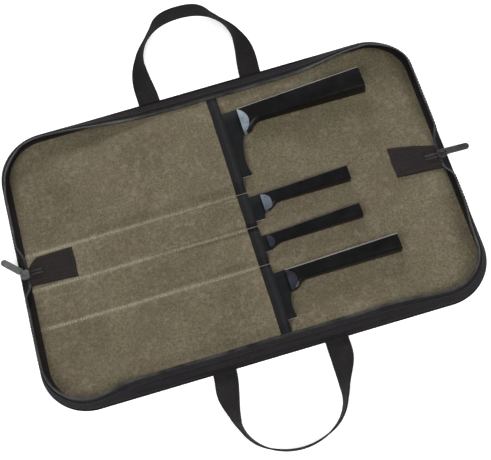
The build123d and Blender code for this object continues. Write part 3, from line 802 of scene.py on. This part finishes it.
SHEET_INSET = 3.0  # from the case's outline to the pocket cloth, which is caught in the same seam
SEAM_YS = (EDGE_Y - 6.0, FOLD_Y, -FOLD_Y, -64.0, 6.0 - EDGE_Y)
POCKET_KNIVES = ("cleaver", "utility_knife", "paring_knife", "chef_knife")
STEEL = {"cleaver": 2.4, "utility_knife": 2.0, "paring_knife": 1.8, "chef_knife": 2.2}
BLADES = {knife: blade_line(knife) for knife in POCKET_KNIVES}
SHEET = 0.8
UNDER_RIM = 12.5  # the outer pockets stay flat this far from their seam, under the rim's lying cloth
UNDER_BLADE = 0.45
OVER_BLADE = 0.35
EMPTY_POCKET = 1.6
TIP_RUN = 26.0  # the cloth comes down over this much beyond a blade's tip
SEWN_YS = SEAM_YS[1:4]


def pocket_height(x, y):
    """Height of the pocket sheet's upper face above the lining: down at the seams, up over the blades."""
    height = SHEET
    for knife, top, bottom in zip(POCKET_KNIVES, SEAM_YS, SEAM_YS[1:]):
        if not bottom <= y <= top:
            continue
        tip, slope, low_y, high_y = BLADES[knife]
        roof = SHEET + UNDER_BLADE + STEEL[knife] + slope * max(0.0, x - tip) + OVER_BLADE
        roof = mix(EMPTY_POCKET, roof, smooth_step(x, tip - TIP_RUN, tip - 2))
        low_foot = bottom + (UNDER_RIM if bottom == SEAM_YS[-1] else 0.5)
        high_foot = top - (UNDER_RIM if top == SEAM_YS[0] else 0.5)
        shoulder_low = smooth_step(y, low_foot, max(low_foot + 2.1, low_y - 1.0))
        shoulder_high = 1 - smooth_step(y, min(high_foot - 2.1, high_y + 1.0), high_foot)
        near_wall = smooth_step(x, POCKET_LEFT + 14, POCKET_LEFT + 30)
        height = mix(SHEET, max(roof, 1.3), min(shoulder_low, shoulder_high) * near_wall)
    return height


def pocket_relief(x, y):
    """Puckers beside the seams and soft rumples between them."""
    nearest = min(abs(y - seam) for seam in SEWN_YS)
    pucker = 0.24 * exp(-nearest / 4.5) * sin(2 * pi * x / 7.3 + 2.2 * rumple(x, y, 17, 1.7))
    soft = 0.22 * rumple(x, y, 30, 4.4) + 0.08 * rumple(x, y, 11, 9.2)
    calm = smooth_step(x, POCKET_LEFT, POCKET_LEFT + 10) * smooth_step(EDGE_Y - abs(y), 10, 20)
    under_tab = (1 - smooth_step(x, -TAB_INNER_X, 6 - TAB_INNER_X)) * (1 - smooth_step(abs(y), 19.5, 23))
    return (pucker + soft) * calm * (1 - under_tab)


def sheet_rows(side):
    """Distances from the middle of the spine, closer together at the seams and round the corner."""
    rows = steps(0, 17, 12) + steps(17.8, 22.2, 8) + steps(24, 60, 22) + steps(61, 67, 9)
    rows += steps(69, STRAIGHT_Y, 28) + corner_rows(SHEET_INSET, 1.5, 12)
    return [side * r for r in rows]


def seam_wear(x, y):
    """Canvas rubs pale along the stitched seams, most where the layers make a ridge."""
    wander = 0.8 * rumple(x, y, 26, 6.6)
    nearest = min(abs(y + wander - seam) for seam in SEWN_YS)
    patchy = 0.68 + 0.35 * rumple(x, y, 10, 3.9) + 0.3 * rumple(x, y, 4, 5.9)
    return patchy * exp(-(nearest / 2.2) ** 2) if x < POCKET_MOUTH else 0.0


def make_pocket_sheets():
    for name, side in SIDES:
        def place(c, r):
            return mix(-panel_half_width(r, SHEET_INSET), POCKET_MOUTH + 2.0 + binding_shift(r), c)

        def top(c, r):
            x = place(c, r)
            ridge = 0.5 * seam_wear(x, r)
            return (x, r, LINING_TOP + max(SHEET * 0.6, pocket_height(x, r) + pocket_relief(x, r) + ridge))

        def under(c, r):
            x, y, z = top(c, r)
            return (x, y, max(LINING_TOP + 0.1, z - SHEET))

        sheet = cloth_sheet(f"{name}_pocket_cloth", steps(0, 1, 190), sheet_rows(side), top, under, CANVAS,
                            seam_wear)
        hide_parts(f"{name}_pocket_sheet", "spine_pocket_sheet")
        blend_half(sheet, side, *CREASE)


def binding_shift(y):
    """The binding runs slightly aslant and is not quite straight."""
    return -0.9 - 1.9 * y / POCKET_FAR + 0.35 * rumple(0, y, 24, 7.7)


def make_binding():
    """The tape folded over the pockets' open edge."""
    left = POCKET_MOUTH - 0.5
    right = BINDING_RIGHT
    for name, side in SIDES:
        rows = sheet_rows(side)
        rings = []
        for y in rows:
            shift = binding_shift(y)
            base = LINING_TOP + pocket_height(POCKET_MOUTH + 2, y)
            sag = 0.25 * rumple(3, y, 12, 4.9)
            section = [(left, 0.15), (left + 0.4, 0.50), (left + 3.4, 0.60), (left + 4.4, 0.80)]
            section += [(right - 3.8, 0.75), (right - 0.7, 0.55 + sag), (right, 0.1 + sag)]
            section += [(right - 0.4, -0.55 + sag), (right - 4, -SHEET - 0.1)]
            section += [(left + 3, -SHEET - 0.1), (left, -SHEET + 0.2)]
            rings.append([Vector((x + shift, y, max(LINING_TOP + 0.12, base + rise))) for x, rise in section])
        tape = band(f"{name}_binding_tape", rings, BINDING, [abs(y) for y in rows])
        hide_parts(f"{name}_pocket_binding", "spine_pocket_binding")
        blend_half(tape, side, *CREASE)


def make_pocket_stitches():
    """Rows of tan stitches along the pocket seams, and pale ones where they cross the binding."""
    for name, seam in zip(("back_fold", "front_fold", "front_middle"), SEWN_YS):
        side = 1 if seam > 0 else -1
        end = POCKET_MOUTH - 2.5
        for row, offset in enumerate((-0.8, 0.8)):
            y = seam + offset
            route = []
            for x in steps(POCKET_LEFT + 6, end, 110):
                z = LINING_TOP + pocket_height(x, y) + pocket_relief(x, y)
                route.append(((x, y + 0.25 * rumple(x, y, 9, 2.2), z), UP))
            line = stitches(f"{name}_stitches_{row + 1}", route, TAN_THREAD, 2.1, 3.0, 0.36)
            blend_half(line, side, *CREASE)
        z = LINING_TOP + pocket_height(POCKET_MOUTH + 2, seam) + 0.9
        x0 = POCKET_MOUTH + binding_shift(seam)
        crossing = [(Vector((x, seam, z)), RIGHT, BACK, UP) for x in steps(x0 + 0.6, x0 + 10.5, 3)]
        pale = beads(f"{name}_binding_stitches", crossing, (1.55, 0.40, 0.30), PALE_THREAD)
        blend_half(pale, side, *CREASE)


# ---------------- carry handles
STRAP_WIDTH = 24.0
STRAP_THICKNESS = 1.7
STRAP_BOTTOM = 0.2
STRAP_CENTRE_X = (low_mm("back_carry_handle").x + high_mm("back_carry_handle").x) / 2
STRAP_HALF_INNER = (high_mm("back_carry_handle").x - low_mm("back_carry_handle").x) / 2 - STRAP_WIDTH
STRAP_ROOT_Y = low_mm("back_carry_handle").y
ROOT_Z = 1.25
ROLL_START_Y = 158.0
STRAP_LIE = {  # how each loop has fallen
    "front": dict(arch_y=212.0, reach=42.0, squareness=1.95, upright_y=226.0, roll=79.0, far_roll=82.0,
                  splay=5.7, drift=-4.6),
    "back": dict(arch_y=211.4, reach=47.0, squareness=2.19, upright_y=238.0, roll=104.8, far_roll=89.3,
                 splay=6.9, drift=0.2),
}


def strap_roll(name, y):
    """How far the webbing has rolled up from flat, in degrees."""
    lie = STRAP_LIE[name]
    far_end = lie["arch_y"] + lie["reach"]
    roll = lie["roll"] * smooth_step(y, ROLL_START_Y, lie["upright_y"])
    return roll - (lie["roll"] - lie["far_roll"]) * smooth_step(y, far_end - 16, far_end)


def strap_stations(name):
    """(x, y, outward direction) along a strap's lower edge: two splayed legs and a half super-ellipse."""
    lie = STRAP_LIE[name]
    arch_y, reach, splay = lie["arch_y"], lie["reach"], lie["splay"]
    half = STRAP_HALF_INNER + splay
    power = 2 / lie["squareness"]
    left = []
    for y in steps(STRAP_ROOT_Y, arch_y, 24)[:-1]:
        spread = smooth_step(y, STRAP_ROOT_Y, arch_y + 6)
        left.append((-STRAP_HALF_INNER - splay * spread, y, pi, lie["drift"] * spread))
    arch = []
    for t in steps(0, pi, 90):
        across = 1 if cos(t) > 0 else -1
        x = -across * half * abs(cos(t)) ** power
        y = arch_y + reach * max(0.0, sin(t)) ** power
        slope_x = -across * abs(cos(t)) ** (2 - power) / half
        slope_y = max(0.0, sin(t)) ** (2 - power) / reach
        arch.append((x, y, atan2(slope_y, slope_x), lie["drift"]))
    right = [(-x, y, 0.0, shift) for x, y, _, shift in reversed(left)]
    return [(x + shift, y, outward) for x, y, outward, shift in left + arch + right]


def make_straps():
    """Woven webbing, flat across and rounded off at its selvedges."""
    half_width = STRAP_WIDTH / 2
    half_thick = STRAP_THICKNESS / 2
    half = [(half_width - 0.7, half_thick * 0.8), (half_width, 0.0), (half_width - 0.7, -half_thick * 0.8)]
    half += [(w, -half_thick) for w in steps(half_width - 2, 2 - half_width, 4)]
    section = half + [(-a, -t) for a, t in half]
    for name, side in SIDES:
        rings = []
        for x, y, outward in strap_stations(name):
            r = radians(strap_roll(name, y))
            facing = side * outward
            across = Vector((cos(r) * cos(facing), cos(r) * sin(facing), sin(r)))
            through = Vector((-sin(r) * cos(facing), -sin(r) * sin(facing), cos(r)))
            edge = Vector((STRAP_CENTRE_X + x, side * y, STRAP_BOTTOM))
            middle = edge + across * half_width + through * half_thick
            rings.append([middle + across * a + through * t for a, t in section])
        strap = band(f"{name}_strap", rings, WEBBING)
        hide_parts(f"{name}_carry_handle")
        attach(strap, f"{name}_carry_handle")


def make_strap_roots():
    """The webbing's rolled root, which stays in the seam while the handle swings."""
    for name, side in SIDES:
        body = f"{name}_half"
        for end_name, end in ENDS:
            middle = STRAP_CENTRE_X + end * (STRAP_HALF_INNER + STRAP_WIDTH / 2)
            rings = []
            for x in steps(middle - STRAP_WIDTH / 2 + 0.2, middle + STRAP_WIDTH / 2 - 0.2, 6):
                rings.append([(x, side * (STRAP_ROOT_Y + WELT_RADIUS * cos(a)), ROOT_Z + WELT_RADIUS * sin(a))
                              for a in round_angles(12)])
            root = band(f"{name}_{end_name}_strap_root", rings, WEBBING)
            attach(root, body)


# ---------------- zip ends on the spine
TAB_SEAM = 2.2  # from a tab's edges to its stitches
CHAIN_TOOTH = (1.05, 0.5, 0.75)
CHAIN_OFFSET = 1.8  # of each row from the middle


def tab_edges(end, x):
    """(low y, high y) of a zip tab at a distance x from the middle of the case."""
    out = (x - TAB_INNER_X) / (TAB_OUTER_X - TAB_INNER_X)
    if end < 0:
        cut_corner = 11.0 * smooth_step(x, TAB_OUTER_X - 12, TAB_OUTER_X + 4)
        return (-17.8 + 4.0 * out, 17.0 - 0.8 * out - cut_corner)
    askew = 6.5 * (1 - out)
    return (-17.5 + 2.5 * out + askew, 17.5 - 5.5 * out ** 2 + askew)


def tab_height(x, y):
    """The tab lies on the lining, and dips under the closed end of the zip where the slider runs."""
    dip = smooth_step(x, CHAIN_INNER_X - 4, CHAIN_INNER_X + 1.5) * (1 - smooth_step(abs(y), 5.5, 9))
    crease = 0.2 * sin(y * 1.1 + 0.6) * smooth_step(x, TAB_INNER_X + 4, CHAIN_INNER_X)
    return 2.2 - 1.15 * dip + crease * (1 - dip)


def on_tab(end, x, y):
    """A stitch's (point, up) on a zip tab."""
    return (end * x, y, LINING_TOP + tab_height(x, y)), UP


def lay_tab_piece(piece, end):
    """The right tab is askew and reaches over the back crease; its piece is only baked in place. The left one
    is attached to the spine.
    """
    if end > 0:
        blend_half(piece, 1, *CREASE)
    else:
        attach(piece, "spine")


def make_zip_ends():
    for name, end in ENDS:
        inner_x = TAB_INNER_X + (3.5 if end > 0 else 2.0)

        def top(c, r):
            x = mix(inner_x, TAB_OUTER_X + 1.5, c) + 0.35 * sin(9 * r) * (1 - c)
            low, high = tab_edges(end, min(x, TAB_OUTER_X))
            y = mix(low, high, r)
            hem = 0.4 * sum(exp(-away * away) for away in (x - inner_x, y - low, high - y))
            return (end * x, y, LINING_TOP + tab_height(x, y) - min(0.5, hem))

        def under(c, r):
            x, y, _ = top(c, r)
            return (x, y, LINING_TOP + 0.15)

        tab = cloth_sheet(f"{name}_tab_cloth", steps(0, 1, 44), steps(0, 1, 36), top, under, TAB_CLOTH)
        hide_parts(f"{name}_zip_tab")
        lay_tab_piece(tab, end)

        seam_x = inner_x + TAB_SEAM
        low, high = tab_edges(end, seam_x)
        run = steps(TAB_OUTER_X - 14, seam_x, 16)
        route = [on_tab(end, x, tab_edges(end, x)[1] - TAB_SEAM) for x in run]
        route += [on_tab(end, seam_x, y) for y in steps(high - TAB_SEAM, low + TAB_SEAM, 12)[1:]]
        route += [on_tab(end, x, tab_edges(end, x)[0] + TAB_SEAM) for x in reversed(run[:-1])]
        seam = stitches(f"{name}_tab_stitches", route, DARK_THREAD)
        lay_tab_piece(seam, end)
        low, high = tab_edges(end, inner_x)

        middle = (CHAIN_BOTTOM + CHAIN_TOP) / 2
        frames = []
        for i, x in enumerate(steps(CHAIN_INNER_X + 0.6, TAB_OUTER_X - 0.6, 17)):
            row = 1 if i % 2 else -1
            frames.append((Vector((end * x, row * CHAIN_OFFSET, middle)), BACK, RIGHT, UP))
        chain = beads(f"{name}_closed_chain", frames, CHAIN_TOOTH, COIL)
        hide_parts(f"{name}_zip_end")
        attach(chain, "spine")


def make_end_gussets():
    """The rim's low cloth across the end of the spine."""
    for name, end in ENDS:
        rings = []
        for y in steps(-FOLD_Y + 1.4, FOLD_Y - 1.4, 18):
            sag = 0.15 * rumple(end * 5, y, 9, 3.1)
            section = [(0.0, 0.3), (0.0, 3.8), (0.8, 4.75 + sag), (2.4, 4.95 + sag), (7.4, 4.85 + sag)]
            section += [(7.8, 4.5), (7.4, LINING_TOP + 0.05), (1.5, LINING_TOP + 0.05), (1.3, 0.3)]
            rings.append([(end * (EDGE_X - inward), y, up) for inward, up in section])
        cloth = band(f"{name}_end_cloth", rings, GUSSET)
        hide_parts(f"{name}_end_gusset")
        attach(cloth, "spine")


# ---------------- knives, sliders and pulls
GROUND_WIDTH = 0.9  # of the bright ground edge of a blade
# the chamfer faces picked out here get a painted highlight
HIGHLIT_FACE_AREA = 0.3  # a chamfer's faces are larger than this, in square millimetres


def on_back_chamfer(face):
    """The chamfer along a handle's back, whose faces get a painted highlight."""
    return face.normal.y > 0.5 and face.normal.z > 0.5 and face.area > HIGHLIT_FACE_AREA * MM * MM


def make_knives():
    for knife in POCKET_KNIVES:
        axis = JOINTS[f"{knife}_draw"]["axis"]
        slope = axis[1] / axis[0]
        tip, edge, _ = low_mm(f"{knife}_blade")

        def on_edge(face):
            x, y, _ = face.center / MM
            return y < edge + slope * (x - tip) + GROUND_WIDTH

        finished_copy(f"{knife}_blade", knife, COATED, 0.12, edge_material=GROUND, on_edge=on_edge)
        # painted light: the cleaver's bolster gets the lit copy of the steel, the utility knife's the
        # half-shaded one, the others the shaded one
        steel = {"cleaver": LIT_BOLSTER, "utility_knife": HALF_SHADED_BOLSTER}.get(knife, SHADED_BOLSTER)
        finished_copy(f"{knife}_bolster", knife, steel, 0.35)
        # the back chamfer gets a painted highlight, stronger on the cleaver and the chef's knife
        wear_and_sheen = STRONG_CHAMFER_HIGHLIGHT if knife in ("cleaver", "chef_knife") else FAINT_CHAMFER_HIGHLIGHT
        finished_copy(f"{knife}_handle", knife, HANDLE, 0.6, edge_material=wear_and_sheen, on_edge=on_back_chamfer)


def make_zip_hardware():
    # painted light: the left hardware gets the lit copy of the gunmetal, the right the shaded one
    for name, material in (("left", LIT_GUNMETAL), ("right", SHADED_GUNMETAL)):
        finished_copy(f"{name}_slider", f"{name}_slider", material, 0.22)
        finished_copy(f"{name}_pull", f"{name}_pull", material, 0.25)


# ---------------- camera, light and ground
def make_camera():
    azimuth, elevation, roll = radians(-4.21), radians(67.07), radians(-12.4)
    distance = 1100.0
    target = Vector((6.16, -17.99, 0.0))
    back = Vector((sin(azimuth) * cos(elevation), -cos(azimuth) * cos(elevation), sin(elevation)))
    right = Vector((cos(azimuth), sin(azimuth), 0))
    up = back.cross(right)
    level_right = right * cos(roll) + up * sin(roll)
    level_up = up * cos(roll) - right * sin(roll)
    data = bpy.data.cameras.new("camera")
    data.sensor_width = 36.0
    data.lens = 77.16
    data.clip_start = 0.01
    camera = put_in_scene("camera", data)
    turn = Matrix((level_right, level_up, back)).transposed()
    camera.matrix_world = Matrix.Translation((target + back * distance) * MM) @ turn.to_4x4()
    bpy.context.scene.camera = camera


def area_light(name, place, aim, size, power):
    data = bpy.data.lights.new(name, "AREA")
    data.shape = "DISK"
    data.size = size
    data.energy = power
    lamp = put_in_scene(name, data)
    lamp.location = place
    lamp.rotation_mode = "QUATERNION"
    lamp.rotation_quaternion = (Vector(aim) - Vector(place)).to_track_quat("-Z", "Y")


GROUND_HALF = 4000
GROUND_Z = -0.3


def make_surroundings():
    world = bpy.data.worlds.new("studio")
    world.use_nodes = True
    background = world.node_tree.nodes["Background"]
    background.inputs["Color"].default_value = WHITE
    background.inputs["Strength"].default_value = 0.25
    bpy.context.scene.world = world
    area_light("key", (-0.9, -0.9, 1.7), (0, 0, 0), 1.1, 25)
    area_light("fill", (1.1, -0.7, 1.6), (0, 0, 0), 1.3, 25)
    area_light("back", (0.1, 1.9, 0.75), (0, 0.05, 0), 0.9, 34)
    corners = [(x * GROUND_HALF, y * GROUND_HALF, GROUND_Z) for x, y in ((-1, -1), (1, -1), (1, 1), (-1, 1))]
    ground = new_piece("ground", corners, [(0, 1, 2, 3)], ground_material())
    bpy.context.scene.view_settings.view_transform = "Standard"


def ground_material():
    s = Shader("pale_ground", roughness=0.95, specular=0.05)
    pale = s.ramp(s.noise(400, detail=1.0), ((0.3, (0.93, 0.93, 0.93, 1)), (0.7, (0.95, 0.95, 0.95, 1))))
    s.colour(pale)
    s.feed(s.surface, {"Emission Color": pale, "Emission Strength": 0.45})
    return s.material


# ---------------- making it all
make_camera()
make_surroundings()
make_panels()
make_rim()
make_piping()
make_seam_tape()
make_pocket_sheets()
make_binding()
make_pocket_stitches()
make_straps()
make_strap_roots()
make_zip_ends()
make_end_gussets()
make_knives()
make_zip_hardware()
